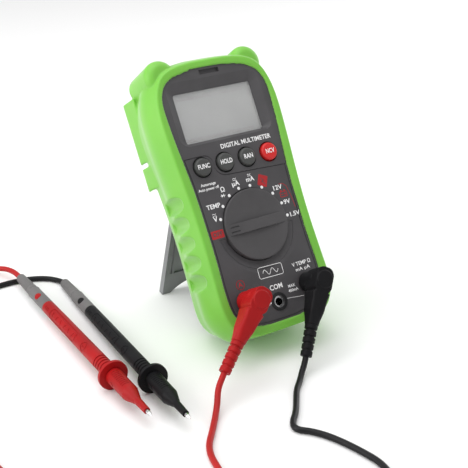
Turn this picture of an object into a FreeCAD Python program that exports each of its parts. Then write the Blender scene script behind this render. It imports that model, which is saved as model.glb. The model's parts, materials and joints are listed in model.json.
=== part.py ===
import FreeCAD, Part
import math
import os

# Hand-held digital multimeter in a rubber holster, leaning back on its kickstand, with two test leads.
# Millimetres. World frame: +X to the right along the meter's width, +Y to the back, +Z up, floor at z = 0.
# The meter is drawn lying flat in its own face frame (u right, v towards the display, w out of the face),
# whose origin is the middle of the selector on the face, and is then stood up by METER.

V = FreeCAD.Vector

# ---------------------------------------------------------------- driving dimensions
LEAN_DEG = 31.7                 # the meter's long axis from the vertical
SELECTOR_Y = -23.7              # where the middle of the selector stands
SELECTOR_Z = 60.86
STAND_OPEN_DEG = 42.4           # kickstand leg from the meter's back when open
JACK_PITCH = 19.0               # 4 mm safety sockets, three quarters of an inch apart
FIT_GAP = 0.3                   # between pieces of different bodies
RUNNING_GAP = 0.05              # radial, shaft in its hole

# Shells
CASE_GROWTH = 1.8               # the case runs under the holster's lip
FRONT_WALL = 2.2
CASE_WALL = 2.0
CASE_SPLIT = -14.0              # where the two shells meet
CASE_BACK = -32.5
HOLSTER_BACK = -37.0
LIP_HEIGHT = 1.0
LIP_BEVEL = 1.2
FACE_CHAMFER = 1.2
LABEL_DEPTH = 0.5
LABEL_INSET = 0.6
LABEL_GROOVE = 0.4              # open line round the label
SCREWS = [(-27.2, 41.0), (27.2, 41.0), (-9.8, -44.5), (9.8, -44.5)]
SCREW_RADIUS = 1.2
SCREW_HEAD_RADIUS = 2.6
SCREW_SEAT = -20.0
COVER = (-14.5, 14.5, -27.0, 29.0)     # battery cover: u from, u to, v from, v to
COVER_THICKNESS = 1.6
COVER_SCREW_V = 26.4

# Half outlines from the top middle, down the right side, to the bottom middle.
PANEL_HALF = [(0, 83.0), (12, 82.4), (21.5, 80.4), (27.6, 76.4), (30.4, 70.5), (30.9, 62), (30.0, 46),
              (28.3, 27), (27.6, 5), (27.6, -15), (28.0, -33), (26.0, -42), (19, -47.6), (10, -49.4),
              (0, -49.8)]
HOLSTER_HALF = [(0, 90.2), (12, 89.9), (22, 88.4), (30.4, 84.2), (35.6, 76), (37.8, 66), (38.0, 50),
                (36.9, 30), (35.8, 8), (35.8, -10), (36.4, -30), (35.6, -41), (30, -51), (18, -56.6),
                (9, -57.5), (0, -57.7)]
# How far each outline is drawn in at each height w, from front to back.
HOLSTER_STEPS = [(LIP_HEIGHT, 4.0), (0.5, 3.2), (-0.9, 2.6), (-4, 1.5), (-9, 0.5), (-15, 0.9), (-22, 3.2),
                 (-30, 5.3), (-34.5, 7.6), (HOLSTER_BACK, 11.2)]
SOLE = [(-54.7, 5.0), (-50.1, -38.0)]   # the holster's flat underside: v and w at its front and back
CASE_STEPS = [(CASE_SPLIT, 0.0), (-20, 0.9), (-26, 3.4), (-30.5, 7.6), (CASE_BACK, 11.5)]

# Selector
SELECTOR_RADIUS = 18.2
SELECTOR_BOTTOM = -3.8
SELECTOR_TOP = 1.4
SELECTOR_SCOOP = 1.8            # how deep the halves beside the grip bar are dished
SELECTOR_RIM = 0.9
SELECTOR_BAR = 5.4              # width of the grip bar
SELECTOR_HOLE_RADIUS = 18.6
SELECTOR_FLANGE_RADIUS = 19.8   # behind the face, so the selector stays in
SELECTOR_HUB_RADIUS = 5.0
ROTOR_RADIUS = 14.0
DISH_RADIUS = 23.6              # finger dish in the face around the selector's lower half
DISH_OFFSET = -1.0
DISH_DEPTH = 1.3
DISH_TOP = -2.2

# Buttons
BUTTON_NAMES = ("func", "hold", "range", "ncv")
BUTTON_PITCH = 13.3
BUTTON_V = 34.0
BUTTON_RADIUS = 4.6
BUTTON_HOLE_RADIUS = 5.3
BUTTON_FLANGE_RADIUS = 6.1
BUTTON_TOP = 2.0
BUTTON_TRAVEL = 0.9
SWITCH_TOP = -6.3

# Display: window u from, u to, v from, v to
WINDOW = (-22.6, 22.6, 47.2, 72.3)
WINDOW_DEPTH = 3.0
LENS_THICKNESS = 1.2
LENS_MARGIN = 1.4
FRAME_MARGIN = 2.4
LCD_THICKNESS = 2.6

# Sockets
JACKS = {"left": (-JACK_PITCH, -35.7), "com": (0.0, -40.6), "right": (JACK_PITCH, -35.7)}
JACK_BORE_RADIUS = 2.0
JACK_CONTACT_RADIUS = 3.0
JACK_SLEEVE_RADIUS = 4.6
JACK_SLEEVE_TOP = 0.4
JACK_BOTTOM = -20.0

# Circuit board, batteries and fuses
BOARD_TOP = -13.4
BOARD_THICKNESS = 1.6
BATTERY_RADIUS = 5.2
BATTERY_LENGTH = 44.5
BATTERY_W = -25.4
BATTERY_V0 = -21.5

# Kickstand, drawn closed against the back and then opened
STAND_HALF_WIDTH = 17.0         # at the hinge
STAND_FOOT_HALF_WIDTH = 21.4
STAND_THICKNESS = 3.6
STAND_LENGTH = 73.0
STAND_ARCH = 6.0
HINGE_V = 34.6
HINGE_W = -34.7
HINGE_PIN_RADIUS = 1.1
LUG_WIDTH = 2.6
LUG_RADIUS = 2.6

# Clips on the holster's back edges that the probe barrels press into
CLIP_RADIUS = 3.9
CLIP_WALL = 1.6
CLIP_U = 27.6
CLIP_W = -36.4
CLIP_MOUTH = 6.4
CLIP_SPANS = ((32.6, 44.6), (47.1, 79.6))

# Finger flutes across the holster's sides, from the front edge to the back
FLUTES = 5
FLUTE_PITCH = 9.9
FLUTE_V0 = 19.5
FLUTE_RADIUS = 4.6
FLUTE_FLOOR = [(33.5, -6.0), (30.2, -27.0)]     # how far out its floor lies (u) and at what height (w)

METER = FreeCAD.Placement(V(0, SELECTOR_Y, SELECTOR_Z), FreeCAD.Rotation(V(1, 0, 0), 90 - LEAN_DEG))
BOARD_BOTTOM = BOARD_TOP - BOARD_THICKNESS
parts = {}


# ---------------------------------------------------------------- helpers
def full_loop(half):
    mirrored = [(-u, v) for u, v in reversed(half[1:-1])]
    return half + mirrored


def drawn_in(half, inset):
    """The half outline's full loop, every point moved inwards by inset, square to the outline."""
    loop = full_loop(half)
    moved = []
    for i, (u, v) in enumerate(loop):
        before, after = loop[i - 1], loop[(i + 1) % len(loop)]
        along_u, along_v = after[0] - before[0], after[1] - before[1]
        length = math.hypot(along_u, along_v)
        moved.append((u + inset * along_v / length, v - inset * along_u / length))
    return moved


def smooth_wire(half, inset, w):
    """Two mirrored smooth curves through the outline's points, level at the top and bottom middle."""
    loop = drawn_in(half, inset)
    last = len(half) - 1
    sides = [(loop[:last + 1], 1), (loop[last:] + loop[:1], -1)]
    edges = []
    for points, way in sides:
        curve = Part.BSplineCurve()
        curve.interpolate(Points=[V(u, v, w) for u, v in points], InitialTangent=V(way, 0, 0),
                          FinalTangent=V(-way, 0, 0))
        edges.append(curve.toShape())
    return Part.Wire(edges)


def slab(half, inset, w_low, w_high):
    return Part.Face(smooth_wire(half, inset, w_low)).extrude(V(0, 0, w_high - w_low))


def tapered(half, steps, extra=0.0):
    return Part.makeLoft([smooth_wire(half, inset + extra, w) for w, inset in steps], True, False)


def cylinder(u, v, w_low, w_high, radius):
    return Part.makeCylinder(radius, w_high - w_low, V(u, v, w_low))


def tube(u, v, w_low, w_high, outer, inner):
    return cylinder(u, v, w_low, w_high, outer).cut(cylinder(u, v, w_low - 1, w_high + 1, inner))


def block(u0, u1, v0, v1, w0, w1, corner=0.0):
    box = Part.makeBox(u1 - u0, v1 - v0, w1 - w0, V(u0, v0, w0))
    if not corner:
        return box
    upright = [e for e in box.Edges if abs(e.tangentAt(e.FirstParameter).z) > 0.9]
    return box.makeFillet(corner, upright)


def rounded_wire(u0, u1, v0, v1, corner, w):
    outline = block(u0, u1, v0, v1, w - 1, w, corner)
    top = max(outline.Faces, key=lambda f: f.CenterOfMass.z)
    return top.OuterWire


def edges_at(shape, w, tolerance=0.01):
    return [e for e in shape.Edges
            if abs(e.BoundBox.ZMin - w) < tolerance and abs(e.BoundBox.ZMax - w) < tolerance]


def group(shapes):
    return Part.makeCompound(shapes)


def add(name, shape, placement=METER):
    solids = [s.removeSplitter() for s in shape.Solids]
    placed = solids[0] if len(solids) == 1 else group(solids)
    placed.Placement = placement.multiply(placed.Placement)
    parts[name] = placed


# ---------------------------------------------------------------- shells
def label_area(w_low, w_high, gap=0.0):
    """The lower part of the face: below a line that steps down between the first two buttons."""
    line = [V(-45, 39.6, w_low), V(-17.3, 39.6, w_low), V(-13.2, 34.4, w_low), V(-8.2, 27.9, w_low),
            V(45, 25.2, w_low), V(45, -60, w_low), V(-45, -60, w_low)]
    edges = [Part.LineSegment(line[0], line[1]),
             Part.Arc(line[1], V(-14.4, 38.2, w_low), line[2]),
             Part.Arc(line[2], V(-11.8, 29.9, w_low), line[3]),
             Part.LineSegment(line[3], line[4]),
             Part.LineSegment(line[4], line[5]),
             Part.LineSegment(line[5], line[6]),
             Part.LineSegment(line[6], line[0])]
    below = Part.Face(Part.Wire([e.toShape() for e in edges])).extrude(V(0, 0, w_high - w_low))
    below.translate(V(0, -gap, 0))
    return slab(PANEL_HALF, LABEL_INSET + gap, w_low, w_high).common(below)


def button_places():
    middle = (len(BUTTON_NAMES) - 1) / 2
    return [(i - middle) * BUTTON_PITCH for i in range(len(BUTTON_NAMES))]


def face_holes(w_low, w_high):
    holes = [cylinder(u, v, w_low, w_high, JACK_SLEEVE_RADIUS) for u, v in JACKS.values()]
    holes += [cylinder(u, BUTTON_V, w_low, w_high, BUTTON_HOLE_RADIUS) for u in button_places()]
    holes.append(cylinder(0, 0, w_low, w_high, SELECTOR_HOLE_RADIUS))
    return holes


def along_u(points, half_width):
    """The (v, w) outline carried across the meter."""
    corners = [V(-half_width, v, w) for v, w in points]
    return Part.Face(Part.makePolygon(corners + corners[:1])).extrude(V(2 * half_width, 0, 0))


def finger_dish():
    """A sloping ring round the selector's lower half, fading out at its upper ends."""
    slope = Part.makeCone(SELECTOR_HOLE_RADIUS, DISH_RADIUS, DISH_DEPTH, V(0, DISH_OFFSET, -DISH_DEPTH))
    fade = along_u([(-30, -2), (DISH_TOP - 4.0, -2), (DISH_TOP, 0), (DISH_TOP, 1), (-30, 1)], 30)
    return slope.common(fade)


def window_block(margin, w_low, w_high, corner=0.0):
    u0, u1, v0, v1 = WINDOW
    return block(u0 - margin, u1 + margin, v0 - margin, v1 + margin, w_low, w_high, corner)


def display_hood():
    """Slopes around the display: wide at the sides and above it, narrow below."""
    u0, u1, v0, v1 = WINDOW
    rim = rounded_wire(u0 - 5.0, u1 + 5.0, v0 - 1.8, v1 + 5.8, 5.0, 0.0)
    floor = rounded_wire(u0 - 0.2, u1 + 0.2, v0 - 0.2, v1 + 0.2, 1.2, -WINDOW_DEPTH)
    return Part.makeLoft([rim, floor], True, True)


def make_front_case():
    shell = slab(PANEL_HALF, -CASE_GROWTH, CASE_SPLIT, -FACE_CHAMFER)
    shell = shell.fuse(tapered(PANEL_HALF, [(-FACE_CHAMFER, 0.0), (0.0, FACE_CHAMFER)], -CASE_GROWTH))
    shell = shell.cut(slab(PANEL_HALF, CASE_WALL - CASE_GROWTH, CASE_SPLIT - 1, -FRONT_WALL))
    lens_pocket = -WINDOW_DEPTH - 2.4
    shell = shell.fuse(window_block(LENS_MARGIN + 1.5, lens_pocket, -1.0))
    shell = shell.cut(display_hood())
    shell = shell.cut(window_block(0.0, -8, 1, 1.0))
    shell = shell.cut(window_block(LENS_MARGIN, -8, -WINDOW_DEPTH))
    for u, v in SCREWS:
        shell = shell.fuse(cylinder(u, v, CASE_SPLIT, -FRONT_WALL, 3.0))
        shell = shell.cut(cylinder(u, v, CASE_SPLIT - 1, -FRONT_WALL - 1.0, SCREW_RADIUS))
    shell = shell.cut(label_area(-LABEL_DEPTH, 1))
    shell = shell.cut(finger_dish())
    shell = shell.cut(block(-5.8, 5.8, 79.8, 82.2, -1.4, 1))
    for hole in face_holes(-8, 1):
        shell = shell.cut(hole)
    add("front_case", shell)


def make_face_label():
    label = label_area(-LABEL_DEPTH, 0.0, LABEL_GROOVE).cut(finger_dish())
    for hole in face_holes(-2, 1):
        label = label.cut(hole)
    add("face_label", label)


def hinge_bar(u0, u1, radius):
    return Part.makeCylinder(radius, u1 - u0, V(u0, HINGE_V, HINGE_W), V(1, 0, 0))


def hinge_lug(u):
    lug = hinge_bar(u, u + LUG_WIDTH, LUG_RADIUS)
    root = block(u, u + LUG_WIDTH, HINGE_V - LUG_RADIUS, HINGE_V + LUG_RADIUS, HINGE_W, CASE_BACK + 1)
    return lug.fuse(root)


def make_rear_case():
    outer = tapered(PANEL_HALF, CASE_STEPS, -CASE_GROWTH)
    inner_steps = [(w if w == CASE_SPLIT else w + CASE_WALL, inset + CASE_WALL) for w, inset in CASE_STEPS]
    shell = outer.cut(tapered(PANEL_HALF, inner_steps, -CASE_GROWTH))
    u0, u1, v0, v1 = COVER
    shell = shell.cut(block(u0, u1, v0, v1, CASE_BACK - 1, CASE_BACK + COVER_THICKNESS, 2.0))
    shell = shell.cut(block(u0 + 1.6, u1 - 1.6, v0 + 1.6, v1 - 5.0, CASE_BACK - 1, -20))
    for u, v in SCREWS:
        boss = cylinder(u, v, CASE_BACK + 1, CASE_SPLIT, SCREW_HEAD_RADIUS + 0.9).common(outer)
        shell = shell.fuse(boss)
        shell = shell.cut(cylinder(u, v, CASE_BACK - 5, SCREW_SEAT, SCREW_HEAD_RADIUS + 0.2))
        shell = shell.cut(cylinder(u, v, SCREW_SEAT - 1, CASE_SPLIT + 1, SCREW_RADIUS + 0.3))
    inner = STAND_HALF_WIDTH + FIT_GAP
    for u in (-inner - LUG_WIDTH, inner):
        shell = shell.fuse(hinge_lug(u))
    shell = shell.cut(hinge_bar(-25, 25, HINGE_PIN_RADIUS))
    add("rear_case", shell)


def make_battery_cover():
    u0, u1, v0, v1 = COVER
    top = CASE_BACK + COVER_THICKNESS
    cover = block(u0, u1, v0, v1, CASE_BACK, top, 2.0)
    cover = cover.cut(cylinder(0, COVER_SCREW_V, CASE_BACK - 1, top + 1, SCREW_RADIUS))
    cover = cover.cut(cylinder(0, COVER_SCREW_V, CASE_BACK - 1, CASE_BACK + 0.8, SCREW_HEAD_RADIUS - 0.5))
    add("battery_cover", cover)


def probe_clip(side, v0, v1):
    """C-shaped channel on a back edge, open to the back."""
    length = v1 - v0
    start = V(side * CLIP_U, v0, CLIP_W)
    outer = CLIP_RADIUS + CLIP_WALL
    ring = Part.makeCylinder(outer, length, start, V(0, 1, 0))
    root = block(side * CLIP_U - outer, side * CLIP_U + outer, v0, v1, CLIP_W, -25.0)
    mouth = block(side * CLIP_U - CLIP_MOUTH / 2, side * CLIP_U + CLIP_MOUTH / 2, v0 - 1, v1 + 1,
                  CLIP_W - outer - 1, CLIP_W)
    return ring.fuse(root), mouth


def corner_horn(side):
    horn = Part.makeCone(7.0, 9.0, 27.0, V(side * 25.4, 83.0, -28))
    return horn.makeFillet(4.5, edges_at(horn, -1.0))


def finger_flute(side, v):
    (u_front, w_front), (u_back, w_back) = FLUTE_FLOOR
    front = V(side * (u_front + FLUTE_RADIUS), v, w_front)
    back = V(side * (u_back + FLUTE_RADIUS), v, w_back)
    run = back - front
    return Part.makeSphere(FLUTE_RADIUS, front).fuse(Part.makeCylinder(FLUTE_RADIUS, run.Length, front, run))


def make_holster():
    body = tapered(HOLSTER_HALF, HOLSTER_STEPS)
    (sole_front, w_front), (sole_back, w_back) = SOLE
    body = body.cut(along_u([(sole_front, w_front), (sole_back, w_back), (-70, w_back), (-70, w_front)], 60))
    for side in (-1, 1):
        body = body.fuse(corner_horn(side))
        for v0, v1 in CLIP_SPANS:
            wall, mouth = probe_clip(side, v0, v1)
            body = body.fuse(wall).cut(mouth)
        lowest = CLIP_SPANS[0][0] - 1
        body = body.cut(Part.makeCylinder(CLIP_RADIUS, 100 - lowest, V(side * CLIP_U, lowest, CLIP_W),
                                          V(0, 1, 0)))
        for i in range(FLUTES):
            body = body.cut(finger_flute(side, FLUTE_V0 - i * FLUTE_PITCH))
    body = body.cut(tapered(PANEL_HALF, [(0.0, 0.0), (LIP_HEIGHT + 0.5, -LIP_BEVEL)]))
    body = body.cut(slab(PANEL_HALF, -CASE_GROWTH, CASE_SPLIT, 0.0))
    body = body.cut(tapered(PANEL_HALF, CASE_STEPS, -CASE_GROWTH))
    window = STAND_FOOT_HALF_WIDTH + 0.4
    body = body.cut(block(-window, window, -45.0, 38.6, HOLSTER_BACK - 9, CASE_BACK + 0.5, 3.0))
    add("holster", body)


def make_screws():
    screws = []
    for u, v in SCREWS:
        head = cylinder(u, v, SCREW_SEAT - 2.0, SCREW_SEAT, SCREW_HEAD_RADIUS)
        head = head.cut(block(u - 1.8, u + 1.8, v - 0.35, v + 0.35, SCREW_SEAT - 3, SCREW_SEAT - 1.0))
        head = head.cut(block(u - 0.35, u + 0.35, v - 1.8, v + 1.8, SCREW_SEAT - 3, SCREW_SEAT - 1.0))
        screws.append(head.fuse(cylinder(u, v, SCREW_SEAT, -5.0, SCREW_RADIUS)))
    add("case_screws", group(screws))
    head = cylinder(0, COVER_SCREW_V, CASE_BACK + 0.1, CASE_BACK + 0.8, SCREW_HEAD_RADIUS - 0.6)
    head = head.cut(block(-1.5, 1.5, COVER_SCREW_V - 0.3, COVER_SCREW_V + 0.3, CASE_BACK, CASE_BACK + 0.5))
    add("battery_cover_screw", head.fuse(cylinder(0, COVER_SCREW_V, CASE_BACK + 0.8, -27.0, SCREW_RADIUS)))


# ---------------------------------------------------------------- inside
def make_display():
    back_of_lens = -WINDOW_DEPTH - LENS_THICKNESS
    back_of_lcd = back_of_lens - LCD_THICKNESS
    pocket = -WINDOW_DEPTH - 2.4
    add("display_lens", window_block(LENS_MARGIN - 0.1, back_of_lens, -WINDOW_DEPTH, 0.8))
    add("lcd_panel", window_block(1.0, back_of_lcd, back_of_lens))
    frame = window_block(FRAME_MARGIN, -12.6, pocket, 1.0)
    frame = frame.cut(window_block(1.0, back_of_lcd, pocket + 1))
    frame = frame.cut(window_block(-0.6, -13, pocket))
    add("lcd_frame", frame)
    u0, u1, v0, v1 = WINDOW
    strips = [block(u0 + 2, u1 - 2, v, v + 2.0, BOARD_TOP, back_of_lcd) for v in (v0 + 0.8, v1 - 2.8)]
    add("zebra_strips", group(strips))


def make_board():
    board = slab(PANEL_HALF, 1.6, BOARD_BOTTOM, BOARD_TOP)
    for u, v in JACKS.values():
        board = board.cut(cylinder(u, v, -20, -10, JACK_CONTACT_RADIUS))
    for u, v in SCREWS:
        board = board.cut(cylinder(u, v, -20, -10, 3.7))
    add("main_board", board)
    add("measuring_chip", block(-7, 7, 50, 64, BOARD_BOTTOM - 2.0, BOARD_BOTTOM, 0.6))
    add("buzzer", cylinder(18, 55, BOARD_BOTTOM - 5.0, BOARD_BOTTOM, 6.0)
        .cut(cylinder(18, 55, BOARD_BOTTOM - 6.0, BOARD_BOTTOM - 4.0, 1.2)))
    switches = []
    for u in button_places():
        body = block(u - 3, u + 3, BUTTON_V - 3, BUTTON_V + 3, BOARD_TOP, SWITCH_TOP - 0.8, 0.4)
        switches.append(body.fuse(cylinder(u, BUTTON_V, SWITCH_TOP - 0.8, SWITCH_TOP, 1.7)))
    add("button_switches", group(switches))


def make_fuses():
    clips = []
    for name, u, radius, length in (("fuse_left", -20.0, 3.1, 32.0), ("fuse_right", 20.0, 2.6, 20.0)):
        v0 = -8.0 - length / 2
        w = BOARD_BOTTOM - radius - 0.8
        add(name, Part.makeCylinder(radius, length, V(u, v0, w), V(0, 1, 0)))
        for v in (v0 + 1.0, v0 + length - 5.0):
            clip = block(u - radius - 0.5, u + radius + 0.5, v, v + 4.0, w, BOARD_BOTTOM)
            clips.append(clip.cut(Part.makeCylinder(radius, 60, V(u, v - 20, w), V(0, 1, 0))))
    add("fuse_clips", group(clips))


def make_batteries():
    for name, u in (("battery_left", -6.0), ("battery_right", 6.0)):
        can = Part.makeCylinder(BATTERY_RADIUS, BATTERY_LENGTH - 1.0, V(u, BATTERY_V0, BATTERY_W), V(0, 1, 0))
        nub = Part.makeCylinder(1.9, 1.0, V(u, BATTERY_V0 + BATTERY_LENGTH - 1.0, BATTERY_W), V(0, 1, 0))
        add(name, can.fuse(nub))
    plates = []
    end = BATTERY_V0 + BATTERY_LENGTH
    plates.append(block(-11, 11, end, end + 0.5, BATTERY_W - 4, BATTERY_W + 4))
    for u in (-6.0, 6.0):
        plate = block(u - 4.5, u + 4.5, BATTERY_V0 - 3.0, BATTERY_V0 - 2.5, BATTERY_W - 4, BATTERY_W + 4)
        coil = Part.makeCone(3.2, 2.0, 2.5, V(u, BATTERY_V0 - 2.5, BATTERY_W), V(0, 1, 0))
        plates.append(plate.fuse(coil.cut(Part.makeCone(2.6, 1.4, 2.5, V(u, BATTERY_V0 - 2.5, BATTERY_W),
                                                        V(0, 1, 0)))))
    add("battery_contacts", group(plates))


def make_jacks():
    for name, (u, v) in JACKS.items():
        sleeve = tube(u, v, BOARD_TOP, JACK_SLEEVE_TOP, JACK_SLEEVE_RADIUS, JACK_CONTACT_RADIUS)
        add("jack_sleeve_" + name, sleeve)
        add("jack_contact_" + name, tube(u, v, JACK_BOTTOM, -0.5, JACK_CONTACT_RADIUS, JACK_BORE_RADIUS))


# ---------------------------------------------------------------- controls
def make_selector():
    disc = cylinder(0, 0, SELECTOR_BOTTOM, SELECTOR_TOP, SELECTOR_RADIUS)
    disc = disc.makeFillet(0.4, edges_at(disc, SELECTOR_TOP))
    reach = SELECTOR_RADIUS - SELECTOR_RIM
    hollow_radius = (reach ** 2 + SELECTOR_SCOOP ** 2) / (2 * SELECTOR_SCOOP)
    hollow = Part.makeSphere(hollow_radius, V(0, 0, SELECTOR_TOP - SELECTOR_SCOOP + hollow_radius))
    grip_bar = block(-reach, reach, -SELECTOR_BAR / 2, SELECTOR_BAR / 2, SELECTOR_BOTTOM, SELECTOR_TOP)
    disc = disc.cut(hollow.cut(grip_bar))
    for v in (-1.2, 1.2):
        disc = disc.cut(block(-15.6, -10.4, v - 0.3, v + 0.3, SELECTOR_TOP - 0.4, SELECTOR_TOP + 1))
    flange = cylinder(0, 0, SELECTOR_BOTTOM, -FRONT_WALL - FIT_GAP, SELECTOR_FLANGE_RADIUS)
    hub = cylinder(0, 0, -9.0, SELECTOR_BOTTOM, SELECTOR_HUB_RADIUS)
    shaft = cylinder(0, 0, -12.6, -9.0, 3.0)
    add("selector_knob", disc.fuse(flange).fuse(hub).fuse(shaft))
    rotor = tube(0, 0, -12.6, -10.4, ROTOR_RADIUS, 3.0)
    add("selector_rotor", rotor)


def make_buttons():
    for name, u in zip(BUTTON_NAMES, button_places()):
        cap = cylinder(u, BUTTON_V, -3.9, BUTTON_TOP, BUTTON_RADIUS)
        cap = cap.makeFillet(1.3, edges_at(cap, BUTTON_TOP))
        flange = cylinder(u, BUTTON_V, -3.9, -FRONT_WALL - FIT_GAP, BUTTON_FLANGE_RADIUS)
        stem = cylinder(u, BUTTON_V, SWITCH_TOP + BUTTON_TRAVEL + 0.1, -3.9, 2.0)
        add(name + "_button", cap.fuse(flange).fuse(stem))


def flat_plate(outline, w_low, w_high):
    corners = [V(u, v, w_low) for u, v in outline]
    return Part.Face(Part.makePolygon(corners + corners[:1])).extrude(V(0, 0, w_high - w_low))


def make_kickstand():
    """A leg that widens to its foot, with a slot along each edge and a sunk panel."""
    v1 = HINGE_V
    v0 = HINGE_V - STAND_LENGTH
    half = STAND_HALF_WIDTH
    foot = STAND_FOOT_HALF_WIDTH
    back = HINGE_W - STAND_THICKNESS / 2
    front = HINGE_W + STAND_THICKNESS / 2
    spread = (foot - half) / STAND_LENGTH
    leg = flat_plate([(-half, v1), (half, v1), (foot, v0), (-foot, v0)], back, front)
    leg = leg.fuse(hinge_bar(-half, half, STAND_THICKNESS / 2))
    arch_half = foot - 5.0
    arch = Part.Face(Part.Wire([
        Part.Arc(V(-arch_half, v0 - 0.1, back - 1), V(0, v0 + STAND_ARCH, back - 1),
                 V(arch_half, v0 - 0.1, back - 1)).toShape(),
        Part.LineSegment(V(arch_half, v0 - 0.1, back - 1), V(-arch_half, v0 - 0.1, back - 1)).toShape()]))
    leg = leg.cut(arch.extrude(V(0, 0, STAND_THICKNESS + 2)))
    top, low = v1 - 9, v0 + 13

    def from_edge(side, inset, v):
        return (side * (half + spread * (v1 - v) - inset), v)

    for side in (-1, 1):
        slot = [from_edge(side, 2.4, top), from_edge(side, 3.2, low), from_edge(side, 4.4, low),
                from_edge(side, 3.6, top)]
        leg = leg.cut(flat_plate(slot, back - 1, front + 1))
    panel = [from_edge(-1, 5.6, top), from_edge(1, 5.6, top), from_edge(1, 5.6, low), from_edge(-1, 5.6, low)]
    leg = leg.cut(flat_plate(panel, front - 1.2, front + 1))
    leg = leg.cut(hinge_bar(-half - 1, half + 1, HINGE_PIN_RADIUS + RUNNING_GAP))
    leg.rotate(V(0, HINGE_V, HINGE_W), V(1, 0, 0), STAND_OPEN_DEG)
    add("kickstand", leg)
    reach = half + FIT_GAP + LUG_WIDTH
    add("kickstand_pin", hinge_bar(-reach, reach, HINGE_PIN_RADIUS))


# ---------------------------------------------------------------- test leads
CORD_RADIUS = 1.5
CORD_FIRST_RUN = 3.6
PLUG_AXIS_W = 12.2              # the plug body's axis above the face
PLUG_HALF_WIDTH = 4.9
PLUG_HALF_HEIGHT = 5.3
PLUG_PAD_RADIUS = 4.5
PLUG_BODY_END = 24.0            # along the plug from its pin
PLUG_RELIEF_END = 40.0
PLUG_SHROUD_RADIUS = 5.3
PIN_END = -17.0
# The plug's body from head to relief: place along it, half width, half height and corner radius.
PLUG_SECTIONS = [(7.5, PLUG_HALF_WIDTH, PLUG_HALF_HEIGHT, 1.5), (11.4, 4.3, 4.9, 1.6), (17.0, 4.1, 4.4, 2.0),
                 (21.5, 3.4, 3.6, 2.4), (PLUG_BODY_END, 3.3, 3.3, 2.8)]

PROBE_LENGTH = 161.0
PROBE_GUARD = 120.0             # along the probe from its tail
PROBE_GUARD_RADIUS = 7.5
PROBE_GUARD_THICKNESS = 1.8
PROBE_RADIUS = 3.75
TIP_RADIUS = 1.0
MARK_DEG = 228.0                # a probe's moulded marks face up and to the meter's left
MARK_DEPTH = 0.2
MARK_WIDTH = 0.6

COIL_RADIUS = 16.8              # middle of the turns
COIL_HALF_WIDTH = 4.6
COIL_HEIGHT = 6.1
TIE_WIDTH = 3.0
TIE_THICKNESS = 0.5

# Each lead: its socket, the way its plug lies on the face, its probe's tail and heading, its coil's
# middle, and the cord's routes from plug to coil and from coil to probe. A route's first or last point
# on the plug, coil or probe is worked out.
LEADS = {
    "red": {
        "jack": "left", "plug_deg": 224.0,
        "probe_tail": V(-83.0, 88.6, 5.7), "probe_deg": 267.6,
        "coil": V(-104.0, -140.0, 0.0), "coil_in_deg": 0.0, "coil_out_deg": 205.0, "tie_deg": 110.0,
        "front": [V(-54.0, -71.3, 7.8), V(-57.2, -75.8, 4.0), V(-62.2, -81.6, 1.7), (-69.0, -89.6),
                  (-75.2, -96.6), (-78.9, -104.0), (-81.0, -114.0), (-84.0, -126.0)],
        "back": [(-127.5, -129.0), (-139.0, -109.0), (-153.0, -84.0), (-161.0, -52.0), (-151.0, -14.0),
                 (-133.0, 28.0), V(-118.0, 64.0, 1.5), V(-113.0, 84.0, 6.0), V(-111.5, 100.0, 6.0),
                 V(-104.0, 112.5, 2.0), V(-93.5, 114.0, 2.6), V(-86.5, 107.0, 5.2), V(-83.2, 98.0, 5.9)],
    },
    "black": {
        "jack": "right", "plug_deg": 238.0,
        "probe_tail": V(-62.6, 75.0, 2.5), "probe_deg": 264.7,
        "coil": V(-54.0, -162.0, 0.0), "coil_in_deg": 300.0, "coil_out_deg": 250.0, "tie_deg": 160.0,
        "front": [V(-7.2, -74.4, 3.4), V(-11.5, -78.4, 1.7), (-17.5, -83.6), (-23.0, -90.8), (-28.9, -98.3),
                  (-35.4, -104.2), (-36.8, -109.2), (-31.6, -114.0), (-26.8, -122.6), (-22.8, -136.5),
                  (-20.5, -151.0), (-27.0, -166.0)],
        "back": [(-84.0, -171.0), (-112.0, -169.0), (-140.0, -155.0), (-160.0, -128.0), (-170.0, -95.0),
                 (-170.0, -58.0), (-159.0, -16.0), (-142.0, 26.0), (-127.0, 62.0), (-114.5, 84.0),
                 (-99.5, 94.0), (-86.0, 94.2), (-76.0, 92.2), (-67.8, 87.6), (-63.2, 81.4)],
    },
}


def on_floor(point):
    return point if isinstance(point, FreeCAD.Vector) else V(point[0], point[1], CORD_RADIUS)


def plug_frame(jack, deg):
    """Along the plug is the local u, out of the face the local w, and the pin's axis the origin."""
    u, v = JACKS[jack]
    on_face = FreeCAD.Placement(V(u, v, 0), FreeCAD.Rotation(V(0, 0, 1), deg))
    return METER.multiply(on_face)


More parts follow.
